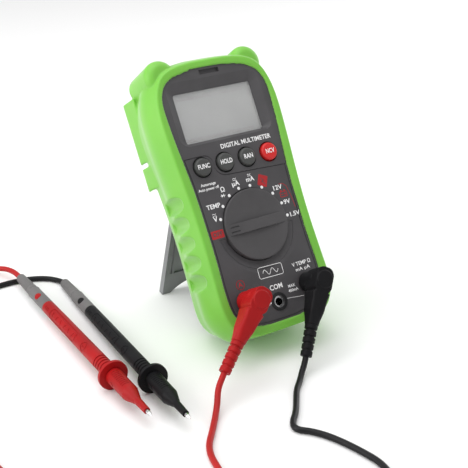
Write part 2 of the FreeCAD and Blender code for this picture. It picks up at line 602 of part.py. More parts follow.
def make_plug(colour, frame):
    shroud = cylinder(0, 0, JACK_SLEEVE_TOP + FIT_GAP, PLUG_AXIS_W, PLUG_SHROUD_RADIUS)
    low = PLUG_AXIS_W - PLUG_HALF_HEIGHT
    high = PLUG_AXIS_W + PLUG_HALF_HEIGHT
    head = block(-PLUG_SHROUD_RADIUS - 0.2, 8.0, -PLUG_HALF_WIDTH, PLUG_HALF_WIDTH, low, high, 4.0)
    sections = []
    for along, half_width, half_height, corner in PLUG_SECTIONS:
        wire = rounded_wire(-half_height, half_height, -half_width, half_width, corner, 0.0)
        wire.Placement = FreeCAD.Placement(V(along, 0, PLUG_AXIS_W), FreeCAD.Rotation(V(0, 1, 0), 90))
        sections.append(wire)
    neck = Part.makeLoft(sections, True, True)
    pad = cylinder(0.9, 0, high, high + 0.6, PLUG_PAD_RADIUS)
    body = shroud.fuse(head).fuse(neck).fuse(pad)
    body = body.cut(cylinder(0, 0, -1, PLUG_AXIS_W - 4.0, JACK_BORE_RADIUS - RUNNING_GAP))
    add("plug_body_" + colour, body, frame)
    pin = cylinder(0, 0, PIN_END, PLUG_AXIS_W - 4.0, JACK_BORE_RADIUS - RUNNING_GAP)
    add("plug_pin_" + colour, pin, frame)
    relief = Part.makeCone(3.3, 2.9, PLUG_RELIEF_END - PLUG_BODY_END, V(PLUG_BODY_END, 0, PLUG_AXIS_W),
                           V(1, 0, 0))
    for i in range(4):
        start = PLUG_BODY_END + 2.2 + 3.4 * i
        outer = Part.makeCylinder(5, 1.0, V(start, 0, PLUG_AXIS_W), V(1, 0, 0))
        relief = relief.cut(outer.cut(Part.makeCylinder(2.5, 1.0, V(start, 0, PLUG_AXIS_W), V(1, 0, 0))))
    add("plug_relief_" + colour, relief, frame)


def probe_frame(tail, deg):
    """Along the probe is the local w, from its tail to its tip; the flange rests on the floor."""
    rise = math.asin((PROBE_GUARD_RADIUS + 0.05 - tail.z) / PROBE_GUARD)
    heading = math.radians(deg)
    along = V(math.cos(heading) * math.cos(rise), math.sin(heading) * math.cos(rise), math.sin(rise))
    across = V(-math.sin(heading), math.cos(heading), 0)
    return FreeCAD.Placement(tail, FreeCAD.Rotation(across.cross(along) * -1, across, along, "ZYX")), along


def stations(points):
    """A turned piece from its stations along the probe: (place, radius) pairs."""
    outline = [V(0, 0, points[0][0])] + [V(r, 0, s) for s, r in points] + [V(0, 0, points[-1][0])]
    return Part.Face(Part.makePolygon(outline + outline[:1])).revolve(V(0, 0, 0), V(0, 0, 1), 360)


def marked(piece, marks, surface):
    """The turned piece with the marks cut into its marked side, to one depth below its surface.

    The marks are drawn with u along the probe and v down its side, and stand out through the surface."""
    start, end = surface[0][0], surface[-1][0]
    sheath = cylinder(0, 0, start, end, 2 * PROBE_RADIUS)
    sheath = sheath.cut(stations([(s, r - MARK_DEPTH) for s, r in surface]))
    facing = FreeCAD.Rotation(V(0, 0, 1), V(0, 1, 0), V(-1, 0, 0), "ZXY")
    turned = FreeCAD.Placement(V(0, 0, 0), FreeCAD.Rotation(V(0, 0, 1), MARK_DEG - 180).multiply(facing))
    for mark in marks:
        mark.Placement = turned.multiply(mark.Placement)
        piece = piece.cut(mark.common(sheath))
    return piece


def mark_box(s, t, length, width, deg=0.0, corner=0.0):
    box = block(-length / 2, length / 2, -width / 2, width / 2, PROBE_RADIUS / 2, 2 * PROBE_RADIUS, corner)
    box.Placement = FreeCAD.Placement(V(s, t, 0), FreeCAD.Rotation(V(0, 0, 1), deg))
    return box


def barrel_marks():
    """A long rounded panel with slanted bars in it, a ring beyond it and three dashes before it."""
    panel = mark_box(67.0, 0, 32.0, 5.4, corner=1.6)
    marks = [panel.cut(mark_box(67.0, 0, 32.0 - 2 * MARK_WIDTH, 5.4 - 2 * MARK_WIDTH, corner=1.1))]
    marks += [mark_box(54.5 + 5.0 * i, 0, MARK_WIDTH, 2.6, 25.0 * (-1) ** i) for i in range(6)]
    marks.append(tube(93.0, 0, PROBE_RADIUS / 2, 2 * PROBE_RADIUS, 2.5, 2.5 - MARK_WIDTH))
    marks.append(mark_box(93.0, 0, 2.2, MARK_WIDTH))
    marks += [mark_box(44.5 + 1.6 * i, 0, MARK_WIDTH, 1.8) for i in range(3)]
    return marks


def cap_marks():
    """Short ribs across the lower side, and an arrowhead on the upper one."""
    marks = [mark_box(124.6 + 1.5 * i, 2.2, MARK_WIDTH, 3.2) for i in range(9)]
    corners = [V(127.0, -2.2, 0), V(129.8, -1.1, 0), V(129.8, -3.3, 0)]
    marks.append(Part.Face(Part.makePolygon(corners + corners[:1])).extrude(V(0, 0, 2 * PROBE_RADIUS)))
    return marks


def make_probe(colour, frame):
    add("probe_boot_" + colour, stations([(0, 2.3), (19.4, 3.1)]), frame)
    add("probe_collar_" + colour, stations([(19.4, 2.8), (20.4, 2.8), (20.4, 3.5), (41.0, 3.6)]), frame)
    grooves = []
    for i in range(4):
        s = 107.0 + 2.4 * i
        grooves += [(s, 3.9), (s, 3.5), (s + 0.9, 3.5), (s + 0.9, 3.9)]
    front = PROBE_GUARD + PROBE_GUARD_THICKNESS
    barrel = [(41.0, 3.6), (60.0, PROBE_RADIUS)] + grooves
    barrel += [(PROBE_GUARD, 4.1), (PROBE_GUARD, PROBE_GUARD_RADIUS), (front, PROBE_GUARD_RADIUS),
               (front, 2.4), (front + 4.0, 2.4)]
    barrel_side = barrel[:2] + [(107.0, 3.9)]
    add("probe_barrel_" + colour, marked(stations(barrel), barrel_marks(), barrel_side), frame)
    tip_end = PROBE_LENGTH
    tip = stations([(front + 4.0, TIP_RADIUS), (tip_end - 2.2, TIP_RADIUS), (tip_end, 0.15)])
    add("probe_tip_" + colour, tip, frame)
    cap = stations([(front + FIT_GAP, 4.3), (137.0, 4.1), (139.5, 4.1), (147.0, 1.9), (156.5, 1.6)])
    cap = cap.cut(cylinder(0, 0, front, front + 4.0 + FIT_GAP, 2.4 + RUNNING_GAP))
    cap = cap.cut(cylinder(0, 0, front, PROBE_LENGTH, TIP_RADIUS + RUNNING_GAP))
    add("probe_cap_" + colour, marked(cap, cap_marks(), [(front + FIT_GAP, 4.3), (138.0, 4.1)]), frame)


def cord_tube(name, route, radius=CORD_RADIUS):
    """Straight runs joined by tangent arcs, each arc as large as its two runs allow."""
    edges = []
    start = route[0]
    radii = []
    for before, corner, after in zip(route, route[1:], route[2:]):
        back = (before - corner).normalize()
        on = (after - corner).normalize()
        half_turn = (math.pi - back.getAngle(on)) / 2
        reach = 0.45 * min((before - corner).Length, (after - corner).Length)
        radii.append(reach / math.tan(half_turn))
        arc_start = corner + back * reach
        arc_end = corner + on * reach
        bisector = (back + on).normalize()
        middle = corner + bisector * (radii[-1] / math.cos(half_turn) - radii[-1])
        edges.append(Part.LineSegment(start, arc_start).toShape())
        edges.append(Part.Arc(arc_start, middle, arc_end).toShape())
        start = arc_end
    edges.append(Part.LineSegment(start, route[-1]).toShape())
    path = Part.Wire(edges)
    section = Part.Wire([Part.makeCircle(radius, route[0], route[1] - route[0])])
    solid = path.makePipeShell([section], True, False)
    expected = math.pi * radius ** 2 * path.Length
    print("%-18s length %.1f  volume %.3f of expected  smallest radii %s" % (
        name, path.Length, solid.Volume / expected, [round(r, 1) for r in sorted(radii)[:4]]))
    add(name, solid, FreeCAD.Placement())


def on_coil(coil, deg):
    angle = math.radians(deg)
    return coil + V(COIL_RADIUS * math.cos(angle), COIL_RADIUS * math.sin(angle), CORD_RADIUS)


def make_coil(colour, coil, tie_deg):
    ring = Part.makeCylinder(COIL_RADIUS + COIL_HALF_WIDTH, COIL_HEIGHT, coil)
    ring = ring.cut(Part.makeCylinder(COIL_RADIUS - COIL_HALF_WIDTH, COIL_HEIGHT, coil))
    ring = ring.makeFillet(1.4, ring.Edges)
    add("lead_coil_" + colour, ring, FreeCAD.Placement())
    reach = COIL_HALF_WIDTH + TIE_THICKNESS
    half = TIE_WIDTH / 2
    band = block(COIL_RADIUS - reach, COIL_RADIUS + reach, -half, half, 0, COIL_HEIGHT + TIE_THICKNESS)
    band = band.cut(block(COIL_RADIUS - COIL_HALF_WIDTH, COIL_RADIUS + COIL_HALF_WIDTH, -half - 1, half + 1,
                          TIE_THICKNESS, COIL_HEIGHT))
    add("lead_tie_" + colour, band, FreeCAD.Placement(coil, FreeCAD.Rotation(V(0, 0, 1), tie_deg)))


def make_lead(colour, lead):
    plug = plug_frame(lead["jack"], lead["plug_deg"])
    make_plug(colour, plug)
    probe, along = probe_frame(lead["probe_tail"], lead["probe_deg"])
    make_probe(colour, probe)
    exit_point = plug.multVec(V(PLUG_RELIEF_END, 0, PLUG_AXIS_W))
    exit_way = (exit_point - plug.multVec(V(PLUG_BODY_END, 0, PLUG_AXIS_W))).normalize()
    front = [exit_point, exit_point + exit_way * CORD_FIRST_RUN] + [on_floor(p) for p in lead["front"]]
    front.append(on_coil(lead["coil"], lead["coil_in_deg"]))
    cord_tube("lead_front_" + colour, front)
    back = [on_coil(lead["coil"], lead["coil_out_deg"])] + [on_floor(p) for p in lead["back"]]
    back += [lead["probe_tail"]]
    cord_tube("lead_back_" + colour, back)
    make_coil(colour, lead["coil"], lead["tie_deg"])


make_front_case()
make_face_label()
make_rear_case()
make_battery_cover()
make_holster()
make_screws()
make_display()
make_board()
make_fuses()
make_batteries()
make_jacks()
make_selector()
make_buttons()
make_kickstand()
for colour, lead in LEADS.items():
    make_lead(colour, lead)

os.makedirs("parts", exist_ok=True)
for name, shape in parts.items():
    shape.exportStep("parts/%s.step" % name)
    box = shape.BoundBox
    print("%-22s solids %d valid %s  x %.1f %.1f  y %.1f %.1f  z %.1f %.1f" % (
        name, len(shape.Solids), shape.isValid(), box.XMin, box.XMax, box.YMin, box.YMax, box.ZMin, box.ZMax))
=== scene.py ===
import json
import math

import bpy
from mathutils import Matrix, Vector


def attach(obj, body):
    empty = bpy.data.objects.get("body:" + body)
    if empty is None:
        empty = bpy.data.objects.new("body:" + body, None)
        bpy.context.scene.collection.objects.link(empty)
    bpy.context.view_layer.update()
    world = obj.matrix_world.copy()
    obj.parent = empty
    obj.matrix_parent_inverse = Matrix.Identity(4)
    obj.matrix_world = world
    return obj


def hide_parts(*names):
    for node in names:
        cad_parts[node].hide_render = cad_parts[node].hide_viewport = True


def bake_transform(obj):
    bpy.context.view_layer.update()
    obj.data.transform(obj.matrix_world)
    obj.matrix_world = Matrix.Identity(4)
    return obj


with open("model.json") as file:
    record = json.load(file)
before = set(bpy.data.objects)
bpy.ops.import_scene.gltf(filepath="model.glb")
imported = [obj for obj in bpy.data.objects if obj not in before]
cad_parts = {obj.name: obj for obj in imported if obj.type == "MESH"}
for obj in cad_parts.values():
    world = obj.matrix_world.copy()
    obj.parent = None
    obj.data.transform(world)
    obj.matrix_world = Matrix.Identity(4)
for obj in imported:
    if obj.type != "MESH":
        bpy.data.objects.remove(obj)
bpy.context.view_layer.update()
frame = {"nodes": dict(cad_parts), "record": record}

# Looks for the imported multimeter. Metres, in the CAD's frame: +X right, +Y back, +Z up, floor at z = 0.
# Pieces on the meter are drawn in its face frame in millimetres (u right, v towards the display, w out of
# the face, origin at the middle of the selector) and are stood up by METER.

nodes = frame["nodes"]

MM = 0.001
LEAN = math.radians(31.7)
SELECTOR = Vector((0.0, -0.0237, 0.06086))
METER = Matrix.Translation(SELECTOR) @ Matrix.Rotation(math.pi / 2 - LEAN, 4, "X") @ Matrix.Scale(MM, 4)


# ---------------------------------------------------------------- camera, light and floor
def make_camera():
    data = bpy.data.cameras.new("camera")
    data.sensor_width = 36.0
    data.lens = 80.77
    camera = bpy.data.objects.new("camera", data)
    bpy.context.scene.collection.objects.link(camera)
    camera.location = SELECTOR + Vector((-0.2758, -0.3923, 0.2198))
    turn, down = math.radians(33.81), math.radians(25.18)
    look = Vector((math.sin(turn) * math.cos(down), math.cos(turn) * math.cos(down), -math.sin(down)))
    camera.rotation_euler = look.to_track_quat("-Z", "Y").to_euler()
    bpy.context.scene.camera = camera
    bpy.context.scene.view_settings.view_transform = "Standard"


def area_light(name, place, target, size, power):
    data = bpy.data.lights.new(name, "AREA")
    data.shape = "RECTANGLE"
    data.size = size[0]
    data.size_y = size[1]
    data.energy = power
    light = bpy.data.objects.new(name, data)
    bpy.context.scene.collection.objects.link(light)
    light.location = place
    light.rotation_euler = (Vector(target) - Vector(place)).to_track_quat("-Z", "Y").to_euler()


def make_light():
    world = bpy.data.worlds.new("studio")
    bpy.context.scene.world = world
    world.use_nodes = True
    background = world.node_tree.nodes["Background"]
    background.inputs["Color"].default_value = (1.0, 1.0, 1.0, 1.0)
    background.inputs["Strength"].default_value = 0.62
    area_light("top_light", (-0.1, 0.1, 0.9), (0.0, 0.0, 0.05), (1.0, 0.8), 4.8)
    area_light("left_light", (-0.8, 0.15, 0.4), (0.0, 0.0, 0.07), (0.6, 0.6), 4.0)
    area_light("right_light", (0.8, 0.2, 0.3), (0.0, 0.0, 0.07), (0.6, 0.6), 2.0)


def make_floor():
    mesh = bpy.data.meshes.new("studio_floor")
    half = 3.0
    corners = [(-half, -half, 0), (half, -half, 0), (half, half, 0), (-half, half, 0)]
    mesh.from_pydata(corners, [], [(0, 1, 2, 3)])
    floor = bpy.data.objects.new("studio_floor", mesh)
    bpy.context.scene.collection.objects.link(floor)
    material = bpy.data.materials.new("studio_floor")
    material.use_nodes = True
    shader = material.node_tree.nodes["Principled BSDF"]
    shader.inputs["Base Color"].default_value = (0.94, 0.94, 0.94, 1.0)
    shader.inputs["Roughness"].default_value = 0.8
    mesh.materials.append(material)


# ---------------------------------------------------------------- materials
def new_material(name):
    material = bpy.data.materials.new(name)
    material.use_nodes = True
    return material, material.node_tree, material.node_tree.nodes["Principled BSDF"]


def noise(tree, scale, detail=3.0):
    where = tree.nodes.new("ShaderNodeTexCoord")
    node = tree.nodes.new("ShaderNodeTexNoise")
    node.inputs["Scale"].default_value = scale
    node.inputs["Detail"].default_value = detail
    tree.links.new(where.outputs["Object"], node.inputs["Vector"])
    return node.outputs["Fac"]


def ramp(tree, value, low, high, start=0.3, end=0.7):
    node = tree.nodes.new("ShaderNodeValToRGB")
    node.color_ramp.elements[0].position = start
    node.color_ramp.elements[0].color = (*low, 1.0)
    node.color_ramp.elements[1].position = end
    node.color_ramp.elements[1].color = (*high, 1.0)
    tree.links.new(value, node.inputs["Fac"])
    return node.outputs["Color"]


def remap(tree, value, low, high):
    node = tree.nodes.new("ShaderNodeMapRange")
    node.inputs["From Min"].default_value = 0.3
    node.inputs["From Max"].default_value = 0.7
    node.inputs["To Min"].default_value = low
    node.inputs["To Max"].default_value = high
    tree.links.new(value, node.inputs["Value"])
    return node.outputs["Result"]


def bumps(tree, shader, value, depth, round_edges=0.0):
    """Fine relief, over edges that look rounded by round_edges metres."""
    bump = tree.nodes.new("ShaderNodeBump")
    bump.inputs["Strength"].default_value = 1.0
    bump.inputs["Distance"].default_value = depth
    tree.links.new(value, bump.inputs["Height"])
    if round_edges:
        bevel = tree.nodes.new("ShaderNodeBevel")
        bevel.samples = 4
        bevel.inputs["Radius"].default_value = round_edges
        tree.links.new(bevel.outputs["Normal"], bump.inputs["Normal"])
    tree.links.new(bump.outputs["Normal"], shader.inputs["Normal"])


def moulded(name, colour, roughness, grain=2600.0, depth=0.00003, spread=0.12, round_edges=0.00025,
            gloss=0.4):
    """Injection-moulded plastic or rubber: a fine spark texture, slight blotches and handling sheen."""
    material, tree, shader = new_material(name)
    dark = [c * (1 - spread) for c in colour]
    light = [min(1.0, c * (1 + spread)) for c in colour]
    tree.links.new(ramp(tree, noise(tree, 55.0), dark, light), shader.inputs["Base Color"])
    uneven = remap(tree, noise(tree, 90.0), roughness - 0.07, roughness + 0.07)
    tree.links.new(uneven, shader.inputs["Roughness"])
    shader.inputs["Specular IOR Level"].default_value = gloss
    bumps(tree, shader, noise(tree, grain, 2.0), depth, round_edges)
    return material


def holster_rubber():
    material, tree, shader = new_material("green_rubber")
    body = ramp(tree, noise(tree, 30.0), (0.17, 0.50, 0.048), (0.20, 0.54, 0.060))
    tree.links.new(body, shader.inputs["Base Color"])
    tree.links.new(remap(tree, noise(tree, 70.0), 0.40, 0.52), shader.inputs["Roughness"])
    shader.inputs["Subsurface Weight"].default_value = 0.25
    shader.inputs["Subsurface Radius"].default_value = (0.4, 1.0, 0.15)
    shader.inputs["Subsurface Scale"].default_value = 0.003
    shader.inputs["Sheen Weight"].default_value = 0.45
    shader.inputs["Sheen Roughness"].default_value = 0.3
    bumps(tree, shader, noise(tree, 1800.0, 2.0), 0.00003)
    return material


def metal(name, colour, roughness, scratch=900.0):
    material, tree, shader = new_material(name)
    shader.inputs["Metallic"].default_value = 1.0
    tree.links.new(ramp(tree, noise(tree, 200.0), [c * 0.85 for c in colour], colour),
                   shader.inputs["Base Color"])
    tree.links.new(remap(tree, noise(tree, scratch), roughness - 0.06, roughness + 0.1),
                   shader.inputs["Roughness"])
    bumps(tree, shader, noise(tree, scratch), 0.00001)
    return material


def clear_window():
    material, tree, shader = new_material("clear_window")
    tree.links.new(ramp(tree, noise(tree, 120.0), (0.90, 0.91, 0.92), (0.96, 0.97, 0.97)),
                   shader.inputs["Base Color"])
    shader.inputs["Alpha"].default_value = 0.22
    tree.links.new(remap(tree, noise(tree, 300.0), 0.10, 0.20), shader.inputs["Roughness"])
    shader.inputs["IOR"].default_value = 1.49
    return material


def display_grey():
    material, tree, shader = new_material("lcd_grey")
    tree.links.new(ramp(tree, noise(tree, 60.0), (0.46, 0.46, 0.45), (0.51, 0.51, 0.50)),
                   shader.inputs["Base Color"])
    shader.inputs["Roughness"].default_value = 0.45
    bumps(tree, shader, noise(tree, 5000.0, 1.0), 0.00001)
    return material


def make_materials():
    made = {
        "front_shell": moulded("front_shell", (0.070, 0.067, 0.071), 0.50),
        "face_label": moulded("face_label", (0.066, 0.063, 0.067), 0.48, 3200.0, 0.00002),
        "rear_shell": moulded("rear_shell", (0.045, 0.044, 0.048), 0.55),
        "green_rubber": holster_rubber(),
        "screw_steel": metal("screw_steel", (0.62, 0.62, 0.64), 0.35),
        "clear_window": clear_window(),
        "lcd_grey": display_grey(),
        "grey_moulding": moulded("grey_moulding", (0.35, 0.35, 0.35), 0.5),
        "conductive_rubber": moulded("conductive_rubber", (0.30, 0.10, 0.11), 0.7),
        "circuit_board": moulded("circuit_board", (0.02, 0.14, 0.04), 0.35, 900.0),
        "black_chip": moulded("black_chip", (0.02, 0.02, 0.02), 0.5),
        "fuse_body": moulded("fuse_body", (0.72, 0.70, 0.62), 0.2),
        "spring_brass": metal("spring_brass", (0.72, 0.53, 0.24), 0.3),
        "nickel": metal("nickel", (0.75, 0.75, 0.76), 0.2),
        "battery_wrap": moulded("battery_wrap", (0.02, 0.04, 0.14), 0.3),
        "black_socket": moulded("black_socket", (0.012, 0.012, 0.013), 0.4),
        "knob_grey": moulded("knob_grey", (0.070, 0.067, 0.070), 0.44, 2400.0, 0.00003),
        "button_grey": moulded("button_grey", (0.060, 0.062, 0.060), 0.46, 1800.0, 0.00005),
        "button_red": moulded("button_red", (0.62, 0.018, 0.018), 0.42, 1800.0, 0.00004),
        "stand_grey": moulded("stand_grey", (0.22, 0.225, 0.23), 0.40),
        "red_plastic": moulded("red_plastic", (0.36, 0.006, 0.007), 0.44, 2200.0, 0.00004, gloss=0.2),
        "black_plastic": moulded("black_plastic", (0.009, 0.009, 0.010), 0.46, 2200.0, 0.00004, gloss=0.12),
        "red_cord": moulded("red_cord", (0.42, 0.012, 0.012), 0.46, 1500.0, 0.00003, gloss=0.25),
        "black_cord": moulded("black_cord", (0.010, 0.010, 0.011), 0.40, 1500.0, 0.00003, gloss=0.2),
        "probe_grey": moulded("probe_grey", (0.14, 0.135, 0.135), 0.5, 2200.0, 0.00004),
        "print_white": moulded("print_white", (0.93, 0.93, 0.93), 0.55, spread=0.05, round_edges=0.0),
        "print_red": moulded("print_red", (0.42, 0.016, 0.020), 0.55, round_edges=0.0),
        "red_socket": moulded("red_socket", (0.16, 0.008, 0.008), 0.4),
        "tie_black": moulded("tie_black", (0.02, 0.02, 0.02), 0.4),
    }
    for node in frame["record"]["subparts"]:
        mesh = nodes[node["node"]].data
        mesh.materials.clear()
        mesh.materials.append(made[node["material_slot"]])
    return made


# ---------------------------------------------------------------- piece helpers
# Voxel sizes of the softened copies, in metres.
HOLSTER_GRAIN = 0.0004
PLUG_GRAIN = 0.0003
RELIEF_GRAIN = 0.0002


def add_piece(name, mesh, body, slot, replaced=()):
    piece = bpy.data.objects.new(name, mesh)
    bpy.context.scene.collection.objects.link(piece)
    mesh.materials.clear()
    mesh.materials.append(materials[slot])
    for polygon in mesh.polygons:
        polygon.use_smooth = True
    if replaced:
        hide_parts(*replaced)
    if body:
        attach(piece, body)
    return piece


def modified(piece, *modifiers):
    """The piece's mesh with these modifiers applied: (type, {setting: value}) pairs."""
    for kind, settings in modifiers:
        modifier = piece.modifiers.new(kind.lower(), kind)
        for key, value in settings.items():
            setattr(modifier, key, value)
    bpy.context.view_layer.update()
    evaluated = piece.evaluated_get(bpy.context.evaluated_depsgraph_get())
    mesh = bpy.data.meshes.new_from_object(evaluated)
    piece.modifiers.clear()
    piece.data = mesh
    for polygon in mesh.polygons:
        polygon.use_smooth = True
    return piece


def softened(node, body, slot, grain, rounds):
    """A moulded copy of a CAD node, its edges rounded as a mould leaves them."""
    piece = add_piece(node + "_moulded", nodes[node].data.copy(), body, slot, [node])
    return modified(piece,
                    ("REMESH", {"mode": "VOXEL", "voxel_size": grain, "use_smooth_shade": True}),
                    ("SMOOTH", {"factor": 0.5, "iterations": rounds}))


# ---------------------------------------------------------------- test leads
CORD_DIAMETER = 0.003
COIL_OUTER = 0.0199
COIL_PITCH = 0.0031
COIL_CLIMB = 0.25
COIL_LOW = 0.0015
COIL_HIGH = 0.0046
POINTS_PER_TURN = 16
PLUG_AXIS_W = 12.2
RELIEF_END = 40.0
CORD_HELD = 9.0                 # how far the cord runs on inside the probe's boot

LEADS = {
    "red": {
        "jack": (-19.0, -35.7), "plug_deg": 224.0,
        "probe_tail": (-0.0830, 0.0886, 0.0057), "probe_deg": 267.6,
        "coil": (-0.104, -0.140), "coil_in_deg": 0.0, "turns": 4.43,
        "front": [(-0.0540, -0.0713, 0.0078), (-0.0572, -0.0758, 0.0040), (-0.0622, -0.0816, 0.0017),
                  (-0.0690, -0.0896, 0.0015), (-0.0752, -0.0966, 0.0015), (-0.0789, -0.1040, 0.0015),
                  (-0.0810, -0.1140, 0.0015), (-0.0840, -0.1260, 0.0015)],
        "back": [(-0.1275, -0.1290, 0.0015), (-0.1390, -0.1090, 0.0015), (-0.1530, -0.0840, 0.0015),
                 (-0.1610, -0.0520, 0.0015), (-0.1510, -0.0140, 0.0015), (-0.1330, 0.0280, 0.0015),
                 (-0.1180, 0.0640, 0.0015), (-0.1130, 0.0840, 0.0060), (-0.1115, 0.1000, 0.0060),
                 (-0.1040, 0.1125, 0.0020), (-0.0935, 0.1140, 0.0026), (-0.0865, 0.1070, 0.0052),
                 (-0.0832, 0.0980, 0.0059)],
    },
    "black": {
        "jack": (19.0, -35.7), "plug_deg": 238.0,
        "probe_tail": (-0.0626, 0.0750, 0.0025), "probe_deg": 264.7,
        "coil": (-0.054, -0.162), "coil_in_deg": 300.0, "turns": 3.14,
        "front": [(-0.0072, -0.0744, 0.0034), (-0.0115, -0.0784, 0.0017), (-0.0175, -0.0836, 0.0015),
                  (-0.0230, -0.0908, 0.0015), (-0.0289, -0.0983, 0.0015), (-0.0354, -0.1042, 0.0015),
                  (-0.0368, -0.1092, 0.0015), (-0.0316, -0.1140, 0.0015), (-0.0268, -0.1226, 0.0015),
                  (-0.0228, -0.1365, 0.0015), (-0.0205, -0.1510, 0.0015), (-0.0270, -0.1660, 0.0015)],
        "back": [(-0.0840, -0.1710, 0.0015), (-0.1120, -0.1690, 0.0015), (-0.1400, -0.1550, 0.0015),
                 (-0.1600, -0.1280, 0.0015), (-0.1700, -0.0950, 0.0015), (-0.1700, -0.0580, 0.0015),
                 (-0.1590, -0.0160, 0.0015), (-0.1420, 0.0260, 0.0015), (-0.1270, 0.0620, 0.0015),
                 (-0.1145, 0.0840, 0.0015), (-0.0995, 0.0940, 0.0015), (-0.0860, 0.0942, 0.0015),
                 (-0.0760, 0.0922, 0.0015), (-0.0678, 0.0876, 0.0015), (-0.0632, 0.0814, 0.0015)],
    },
}


def plug_matrix(lead):
    """Along the plug is local x, out of the face local z, from its pin's axis, in millimetres."""
    u, v = lead["jack"]
    return METER @ Matrix.Translation((u, v, 0)) @ Matrix.Rotation(math.radians(lead["plug_deg"]), 4, "Z")


def coil_points(lead):
    """A flat spiral inwards, a step up, and a spiral outwards on top of it, clockwise from above."""
    turns = lead["turns"]
    low_turns = (turns - COIL_CLIMB) / 2
    inner = COIL_OUTER - COIL_PITCH * low_turns
    centre_x, centre_y = lead["coil"]
    count = round(turns * POINTS_PER_TURN)
    points = []
    for i in range(count + 1):
        turned = turns * i / count
        past = turned - low_turns
        if past < 0:
            radius, height = COIL_OUTER - COIL_PITCH * turned, COIL_LOW
        elif past < COIL_CLIMB:
            radius, height = inner, COIL_LOW + (COIL_HIGH - COIL_LOW) * past / COIL_CLIMB
        else:
            radius, height = inner + COIL_PITCH * (past - COIL_CLIMB), COIL_HIGH
        angle = math.radians(lead["coil_in_deg"]) - 2 * math.pi * turned
        points.append((centre_x + radius * math.cos(angle), centre_y + radius * math.sin(angle), height))
    return points


def smooth_path(name, points):
    """The route's own smooth line: a NURBS spline with these control points, read as a row of points."""
    data = bpy.data.curves.new(name, "CURVE")
    data.dimensions = "3D"
    spline = data.splines.new("NURBS")
    spline.points.add(len(points) - 1)
    for point, place in zip(spline.points, points):
        point.co = (*place, 1.0)
    spline.order_u = 3
    spline.use_endpoint_u = True
    spline.resolution_u = 8
    curve = bpy.data.objects.new(name, data)
    bpy.context.scene.collection.objects.link(curve)
    bpy.context.view_layer.update()
    line = bpy.data.meshes.new_from_object(curve)
    path = [v.co.copy() for v in line.vertices]
    bpy.data.objects.remove(curve)
    bpy.data.meshes.remove(line)
    return path


def swept_tube(name, path, radius, sides=20):
    mesh = bpy.data.meshes.new(name)
    verts, faces = [], []
    across = Vector((0, 0, 1)).cross(path[1] - path[0]).normalized()
    for i, place in enumerate(path):
        ahead = (path[min(i + 1, len(path) - 1)] - path[max(i - 1, 0)]).normalized()
        across = (across - ahead * across.dot(ahead)).normalized()
        up = ahead.cross(across)
        for k in range(sides):
            angle = 2 * math.pi * k / sides
            verts.append(place + (across * math.cos(angle) + up * math.sin(angle)) * radius)
    for i in range(len(path) - 1):
        for k in range(sides):
            a, b = i * sides + k, i * sides + (k + 1) % sides
            faces.append((a, b, b + sides, a + sides))
    faces.append(tuple(reversed(range(sides))))
    faces.append(tuple(range(len(verts) - sides, len(verts))))
    mesh.from_pydata(verts, [], faces)
    return mesh


def path_length(path):
    return sum((b - a).length for a, b in zip(path, path[1:]))


def make_cord(colour, lead):
    on = plug_matrix(lead) @ Vector((RELIEF_END + 3.6, 0, PLUG_AXIS_W))
    inside = plug_matrix(lead) @ Vector((RELIEF_END - 2.0, 0, PLUG_AXIS_W))
    held = probe_matrix(lead) @ Vector((0, 0, CORD_HELD))
    points = [inside, on, *lead["front"], *coil_points(lead), *lead["back"], lead["probe_tail"], held]
    path = smooth_path("cord_path_" + colour, points)
    print("cord", colour, "length", round(path_length(path), 4))
    piece = add_piece("lead_cord_" + colour, swept_tube("lead_cord_" + colour, path, CORD_DIAMETER / 2),
                      None, colour + "_cord",
                      ["lead_front_" + colour, "lead_back_" + colour, "lead_coil_" + colour])
    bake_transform(piece)
    return piece, path, tuple(inside)


# ---------------------------------------------------------------- probes and plugs
FACING = math.radians(215.0)    # the way a probe's dot faces: up and to the meter's left
PROBE_SIDES = 96
ROW_STEP = 0.4                  # between rows along a turned piece, mm
EDGE_STEP = 0.1                 # beside each of its corners
GUARD = 120.0
GUARD_RADIUS = 7.5
DOT_PLACE = 31.0
DOT_RADIUS = 2.1
DOT_OUTER = 3.62                # how far the dot's face and back are from the probe's axis
DOT_INNER = 3.3
DOT_SEAT = 3.56
DOT_RINGS = 6
DOT_SPOKES = 32

BOOT = [(0.0, 1.6), (0.0, 2.3), (0.6, 2.65), (18.6, 3.2), (19.3, 2.9), (19.4, 2.3)]
COLLAR = [(19.4, 2.3), (20.3, 2.3), (20.3, 3.4), (20.7, 3.6), (23.0, 3.5), (41.0, 3.6)]


def probe_matrix(lead):
    """Along the probe is local z from its tail, in millimetres; its guard rests on the floor."""
    tail = Vector(lead["probe_tail"])
    rise = math.asin((GUARD_RADIUS + 0.05 - tail.z / MM) / GUARD)
    heading = math.radians(lead["probe_deg"])
    along = Vector((math.cos(heading) * math.cos(rise), math.sin(heading) * math.cos(rise), math.sin(rise)))
    across = Vector((-math.sin(heading), math.cos(heading), 0))
    turn = Matrix((across.cross(along), across, along)).transposed().to_4x4()
    return Matrix.Translation(tail) @ turn @ Matrix.Scale(MM, 4)


def rows_between(profile):
    """The profile's points with rows added: close beside each corner, then evenly."""
    rows = [profile[0]]
    for (s0, r0), (s1, r1) in zip(profile, profile[1:]):
        length = math.hypot(s1 - s0, r1 - r0)
        inner = max(1, math.ceil((length - 2 * EDGE_STEP) / ROW_STEP))
        if length > 4 * EDGE_STEP:
            shares = [EDGE_STEP / length + (1 - 2 * EDGE_STEP / length) * i / inner for i in range(inner + 1)]
            rows += [(s0 + (s1 - s0) * share, r0 + (r1 - r0) * share) for share in shares]
        rows.append((s1, r1))
    return rows


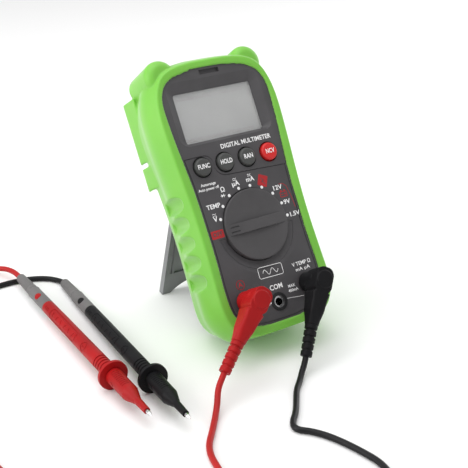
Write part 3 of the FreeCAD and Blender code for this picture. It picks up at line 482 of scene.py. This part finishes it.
def turned_piece(name, node, matrix, profile, relief):
    """A turned grey piece, raised by relief(s, t): s is along it, t round it from the side its dot is on."""
    rows = rows_between(profile)
    verts = []
    for s, r in rows:
        for k in range(PROBE_SIDES):
            angle = 2 * math.pi * k / PROBE_SIDES
            out = r + relief(s, r * math.remainder(angle - FACING, 2 * math.pi))
            verts.append(matrix @ Vector((out * math.cos(angle), out * math.sin(angle), s)))
    faces = [tuple(reversed(range(PROBE_SIDES)))]
    for row in range(0, len(verts) - PROBE_SIDES, PROBE_SIDES):
        for k in range(PROBE_SIDES):
            a, b = row + k, row + (k + 1) % PROBE_SIDES
            faces.append((a, b, b + PROBE_SIDES, a + PROBE_SIDES))
    faces.append(tuple(range(len(verts) - PROBE_SIDES, len(verts))))
    mesh = bpy.data.meshes.new(name)
    mesh.from_pydata(verts, [], faces)
    return add_piece(name, mesh, "meter", "probe_grey", [node])


def boot_relief(s, t):
    """Fine grooves along the boot, on its dot's side."""
    if not 6.0 < s < 17.5 or abs(t) > 3.6:
        return 0.0
    return -0.16 * max(0.0, 1 - (math.remainder(t, 0.9) / 0.3) ** 2)


def collar_relief(s, t):
    """A shallow seat for the coloured dot."""
    return -0.1 if math.hypot(s - DOT_PLACE, t) < DOT_RADIUS + 0.35 else 0.0


def make_dot(colour, matrix):
    """The coloured dot let into the collar, bent to its round surface."""
    rings, spokes = DOT_RINGS, DOT_SPOKES
    verts, faces = [], []
    for out in (DOT_OUTER, DOT_INNER):
        verts.append((DOT_PLACE, 0.0, out))
        for ring in range(1, rings + 1):
            radius = DOT_RADIUS * ring / rings
            dip = 0.12 if ring == 4 and out == DOT_OUTER else 0.0
            for k in range(spokes):
                angle = 2 * math.pi * k / spokes
                verts.append((DOT_PLACE + radius * math.cos(angle), radius * math.sin(angle), out - dip))
    layer = 1 + rings * spokes
    for base, flip in ((0, False), (layer, True)):
        for k in range(spokes):
            after = (k + 1) % spokes
            face = (base, base + 1 + k, base + 1 + after)
            faces.append(face[::-1] if flip else face)
            for ring in range(rings - 1):
                low, high = base + 1 + ring * spokes, base + 1 + (ring + 1) * spokes
                face = (low + k, high + k, high + after, low + after)
                faces.append(face[::-1] if flip else face)
    rim = 1 + (rings - 1) * spokes
    for k in range(spokes):
        after = (k + 1) % spokes
        faces.append((rim + k, layer + rim + k, layer + rim + after, rim + after))
    bent = []
    for s, t, out in verts:
        angle = FACING + t / DOT_SEAT
        bent.append(matrix @ Vector((out * math.cos(angle), out * math.sin(angle), s)))
    mesh = bpy.data.meshes.new("probe_dot_" + colour)
    mesh.from_pydata(bent, [], faces)
    return add_piece("probe_dot_" + colour, mesh, "meter", colour + "_plastic")


def make_probe(colour, lead):
    """The probe's boot and collar with their detail; its barrel, cap and tip stay as they are."""
    matrix = probe_matrix(lead)
    boot = turned_piece("boot_of_%s_probe" % colour, "probe_boot_" + colour, matrix, BOOT, boot_relief)
    collar = turned_piece("collar_of_%s_probe" % colour, "probe_collar_" + colour, matrix, COLLAR,
                          collar_relief)
    kept = [nodes["probe_%s_%s" % (part, colour)] for part in ("barrel", "cap", "tip")]
    return [boot, collar, make_dot(colour, matrix), *kept]


def make_plug(colour):
    body = "plug_" + colour
    return [softened("plug_body_" + colour, body, colour + "_plastic", PLUG_GRAIN, 2),
            softened("plug_relief_" + colour, body, colour + "_plastic", RELIEF_GRAIN, 2),
            nodes["plug_pin_" + colour]]


# ---------------------------------------------------------------- printing on the face
BUTTON_V = 34.0
BUTTON_TOP = 2.0
PRINT_LOW = 0.004
PRINT_HIGH = 0.03
DOT_RING = 19.8


def prism(outline, low, high, matrix):
    """A thin slab on an outline of (u, v) points: its corners and faces."""
    count = len(outline)
    verts = [matrix @ Vector((u, v, w)) for w in (low, high) for u, v in outline]
    faces = [tuple(reversed(range(count))), tuple(range(count, 2 * count))]
    faces += [(i, (i + 1) % count, (i + 1) % count + count, i + count) for i in range(count)]
    return verts, faces


def disc_outline(u, v, radius, sides=24):
    return [(u + radius * math.cos(2 * math.pi * k / sides), v + radius * math.sin(2 * math.pi * k / sides))
            for k in range(sides)]


def box_outline(u, v, width, height, corner, turn_deg=0.0):
    turn = math.radians(turn_deg)
    outline = []
    for quarter, (a, b) in enumerate(((1, 1), (-1, 1), (-1, -1), (1, -1))):
        centre_a = a * (width / 2 - corner)
        centre_b = b * (height / 2 - corner)
        for k in range(5):
            angle = math.pi / 2 * (quarter + k / 4)
            x = centre_a + corner * math.cos(angle)
            y = centre_b + corner * math.sin(angle)
            outline.append((u + x * math.cos(turn) - y * math.sin(turn),
                            v + x * math.sin(turn) + y * math.cos(turn)))
    return outline


def stroke(points, width, closed=False):
    """Slab outlines that together draw a line through the points: one short bar per stretch."""
    pairs = list(zip(points, points[1:]))
    if closed:
        pairs.append((points[-1], points[0]))
    outlines = []
    for (u0, v0), (u1, v1) in pairs:
        length = math.hypot(u1 - u0, v1 - v0)
        du, dv = (u1 - u0) / length * width / 2, (v1 - v0) / length * width / 2
        outlines.append([(u0 - du + dv, v0 - dv - du), (u1 + du + dv, v1 + dv - du),
                         (u1 + du - dv, v1 + dv + du), (u0 - du - dv, v0 - dv + du)])
    return outlines


def text_mesh(text, u, v, height, width, turn_deg, matrix, low, high):
    """Lettering centred on (u, v), its capitals that high, squeezed to that width if one is given."""
    data = bpy.data.curves.new("legend", "FONT")
    data.body = text
    data.align_x = "CENTER"
    data.align_y = "CENTER"
    data.size = height / 0.7
    data.extrude = (high - low) / 2
    data.offset = 0.024 * height
    data.resolution_u = 3
    letters = bpy.data.objects.new("legend", data)
    bpy.context.scene.collection.objects.link(letters)
    bpy.context.view_layer.update()
    squeeze = width / letters.dimensions.x if width else 1.0
    mesh = bpy.data.meshes.new_from_object(letters)
    turned = Matrix.Rotation(math.radians(turn_deg), 4, "Z") @ Matrix.Diagonal((squeeze, 1, 1, 1))
    place = matrix @ Matrix.Translation((u, v, (low + high) / 2)) @ turned
    verts = [place @ vertex.co for vertex in mesh.vertices]
    faces = [tuple(polygon.vertices) for polygon in mesh.polygons]
    bpy.data.objects.remove(letters)
    bpy.data.meshes.remove(mesh)
    return verts, faces


def printed(name, colour, body, outlines=(), texts=(), matrix=METER, low=PRINT_LOW, high=PRINT_HIGH):
    verts, faces = [], []
    made = [prism(outline, low, high, matrix) for outline in outlines]
    for text, u, v, height, width, turn in texts:
        made.append(text_mesh(text, u, v, height, width, turn, matrix, low, high))
    for new_verts, new_faces in made:
        base = len(verts)
        verts += new_verts
        faces += [tuple(i + base for i in face) for face in new_faces]
    mesh = bpy.data.meshes.new(name)
    mesh.from_pydata(verts, [], faces)
    piece = add_piece(name, mesh, body, colour)
    for polygon in mesh.polygons:
        polygon.use_smooth = False
    return piece


def make_printing():
    dots = [disc_outline(DOT_RING * math.cos(math.radians(20 * k)), DOT_RING * math.sin(math.radians(20 * k)),
                         0.8) for k in range(9)]
    wave = [(0.3 + 4.6 * (k / 16 - 0.5) * 2, -24.7 + 1.4 * math.sin(2 * math.pi * k / 8)) for k in range(17)]
    frame_line = stroke(box_outline(0.3, -24.7, 14.4, 5.6, 1.0, -2.0), 0.3, closed=True)
    alternating = []
    for u, v in ((-21.4, 9.9), (-4.4, 24.6), (4.6, 25.0)):
        curl = [(u - 0.9, v), (u - 0.45, v + 0.35), (u + 0.45, v - 0.1), (u + 0.9, v + 0.3)]
        alternating += stroke(curl, 0.22)
        alternating += stroke([(u - 0.9, v - 0.7), (u + 0.9, v - 0.7)], 0.22)
    diode = stroke([(-14.6, 17.9), (-12.0, 17.9)], 0.25) + stroke([(-12.8, 18.6), (-12.8, 17.2)], 0.3)
    diode.append([(-14.2, 17.1), (-12.9, 17.9), (-14.2, 18.7)])
    rule = stroke([(5.1, -40.4), (15.0, -41.6)], 0.22)
    printed("face_print_white", "print_white", "meter",
            dots + stroke(wave, 0.3) + frame_line + alternating + diode + rule,
            [("V", -21.4, 7.4, 2.6, None, 0), ("TEMP", -20.4, 13.8, 2.3, 8.0, 0),
             ("\u03a9", -12.6, 20.8, 2.4, None, 0), ("\u00b5A", -4.5, 22.2, 2.4, 4.4, 0),
             ("mA", 4.5, 22.6, 2.4, 4.8, 0), ("12V", 18.6, 14.9, 2.3, 5.4, 0), ("9V", 21.9, 6.7, 2.3, 4.0, 0),
             ("1.5V", 24.2, -0.2, 2.3, 6.0, 0), ("DIGITAL MULTIMETER", 8.8, 41.9, 2.3, 30.4, 0),
             ("Autorange", -19.5, 25.2, 1.4, 8.6, 0), ("Auto power off", -20.0, 22.9, 1.4, 12.0, 0),
             ("V TEMP \u03a9", 19.3, -25.4, 1.9, 11.5, 0), ("mA \u00b5A", 19.2, -28.2, 1.7, 9.0, 0),
             ("COM", 0.7, -33.2, 2.5, 7.6, 0), ("MAX", 9.6, -35.0, 1.5, 4.2, 0),
             ("400mA", 10.0, -37.3, 1.5, 6.0, 0), ("10A", -6.6, -40.2, 1.8, 4.4, 0)])
    battery = stroke([(19.3, 9.6), (23.3, 9.6), (23.3, 12.2), (19.3, 12.2)], 0.35, closed=True)
    battery += [box_outline(20.3, 12.8, 0.9, 0.7, 0.1), box_outline(22.3, 12.8, 0.9, 0.7, 0.1)]
    battery += stroke([(19.9, 10.9), (21.0, 10.9)], 0.3) + stroke([(21.7, 10.9), (22.8, 10.9)], 0.3)
    battery += stroke([(22.25, 10.4), (22.25, 11.4)], 0.3)
    bracket = stroke([(20.4, 16.5), (22.6, 16.3), (24.3, 14.6), (25.4, 9.5), (26.0, 3.2)], 0.28)
    patches = [box_outline(-22.7, 0.0, 7.2, 4.1, 0.5), box_outline(11.5, 20.3, 5.4, 5.8, 0.5, -25.0)]
    printed("face_print_red", "print_red", "meter",
            battery + bracket + patches + stroke(disc_outline(-18.8, -27.0, 2.3), 0.35, closed=True),
            [("A", -18.8, -27.0, 2.4, None, 0)])
    printed("face_print_dark", "front_shell", "meter",
            stroke([(10.6, 21.9), (12.1, 20.4), (10.9, 20.0), (12.4, 18.5)], 0.35),
            [("OFF", -22.7, 0.0, 2.1, 5.6, 0)], low=PRINT_HIGH, high=PRINT_HIGH + 0.02)
    for label, name, width, u in (("FUNC", "func", 6.8, -19.95), ("HOLD", "hold", 6.8, -6.65),
                                  ("RAN", "range", 5.2, 6.65), ("NCV", "ncv", 5.2, 19.95)):
        printed(name + "_legend", "print_white", name + "_button", (), [(label, u, BUTTON_V, 2.3, width, 0)],
                low=BUTTON_TOP, high=BUTTON_TOP + PRINT_HIGH)


make_camera()
materials = make_materials()
for colour, lead in LEADS.items():
    cord, cord_path, cord_start = make_cord(colour, lead)
    make_plug(colour)
    make_probe(colour, lead)
make_light()
make_floor()
softened("holster", "meter", "green_rubber", HOLSTER_GRAIN, 7)
make_printing()
